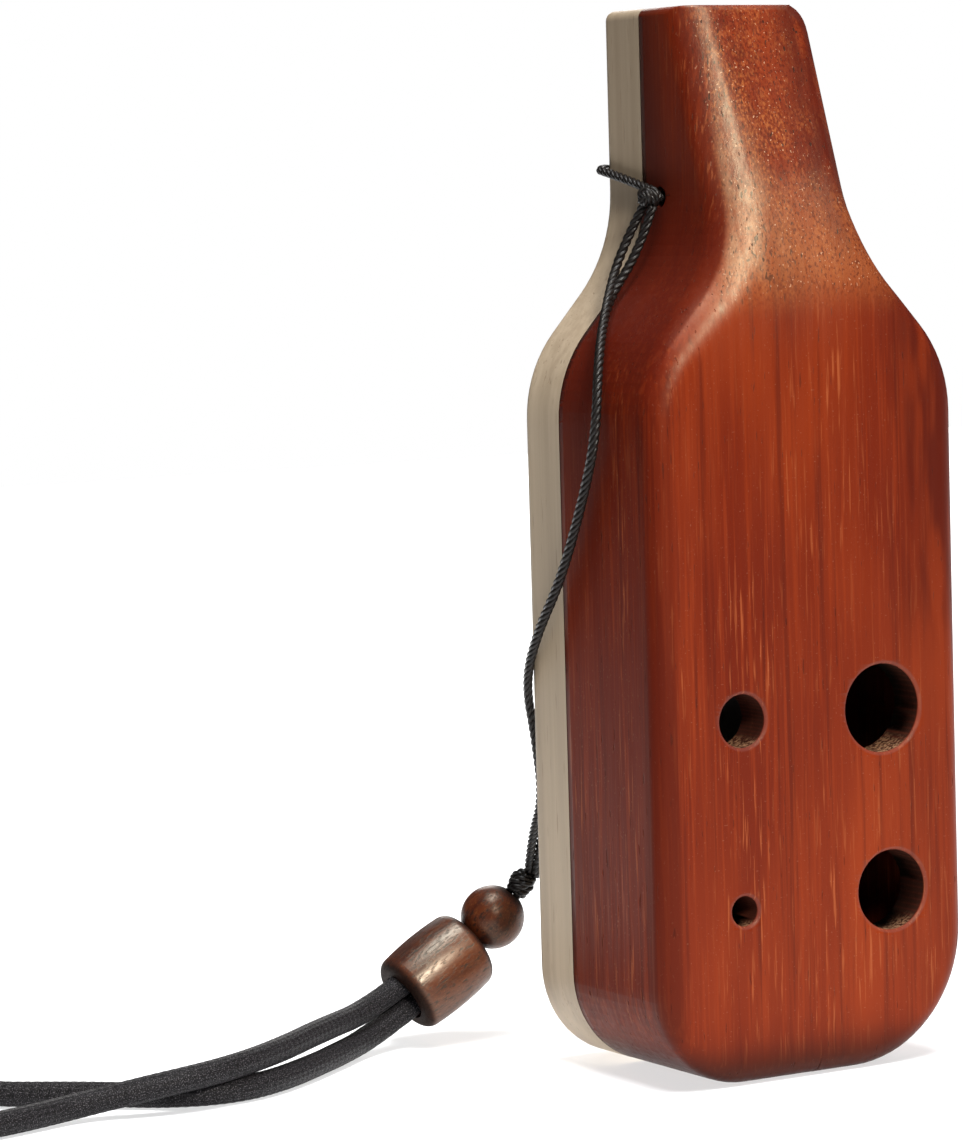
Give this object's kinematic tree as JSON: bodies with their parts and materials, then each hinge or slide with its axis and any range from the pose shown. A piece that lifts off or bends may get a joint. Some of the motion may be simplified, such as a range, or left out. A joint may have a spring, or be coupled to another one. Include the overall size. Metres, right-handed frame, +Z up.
{
  "type": "pendant ocarina",
  "caption": "Upright bottle-shaped wooden pendant ocarina: fipple mouth end, hollow chamber, finger holes, glued back plate, and a neck cord with a round bead and a barrel bead.",
  "frame": {"origin": "on the surface it stands on, under the middle of the body's width and depth", "axes": "+Z up to the mouth end, -Y out of the finger-hole face, +Y out of the pale back plate, +X to the right seen from the finger-hole side"},
  "size_m": [0.1642, 0.0741, 0.13],
  "materials": {
    "front_wood": "satin oiled red hardwood, grain along Z",
    "plate_wood": "satin pale grey-brown hardwood",
    "bead_wood": "satin stained",
    "thin_cord": "waxed, finely twisted",
    "thick_cord": "braided, matt",
    "tie": "woven hook-and-loop band, matt"
  },
  "bodies": {
    "ocarina": {"front_body": "front_wood", "back_plate": "plate_wood", "neck_loop": "thin_cord", "neck_knot": "thin_cord", "cord_leg_a": "thin_cord", "cord_leg_b": "thin_cord", "bead_knot": "thin_cord", "bead_cord": "thin_cord", "cord_splice": "thick_cord", "neck_cord_a": "thick_cord", "neck_cord_b": "thick_cord", "neck_cord_coil": "thick_cord", "coil_tie": "tie"},
    "round_bead": {"round_bead": "bead_wood"},
    "barrel_bead": {"barrel_bead": "bead_wood"}
  },
  "joints": [
    {"name": "round_bead_spin", "type": "hinge", "parent": "ocarina", "child": "round_bead", "pos_m": [-0.01785, 0.03287, 0.01533], "axis": [-0.6123, 0.2855, -0.7373], "continuous": true},
    {"name": "barrel_bead_spin", "type": "hinge", "parent": "ocarina", "child": "barrel_bead", "pos_m": [-0.0207, 0.0342, 0.0119], "axis": [-0.8616, 0, -0.5075], "continuous": true}
  ]
}
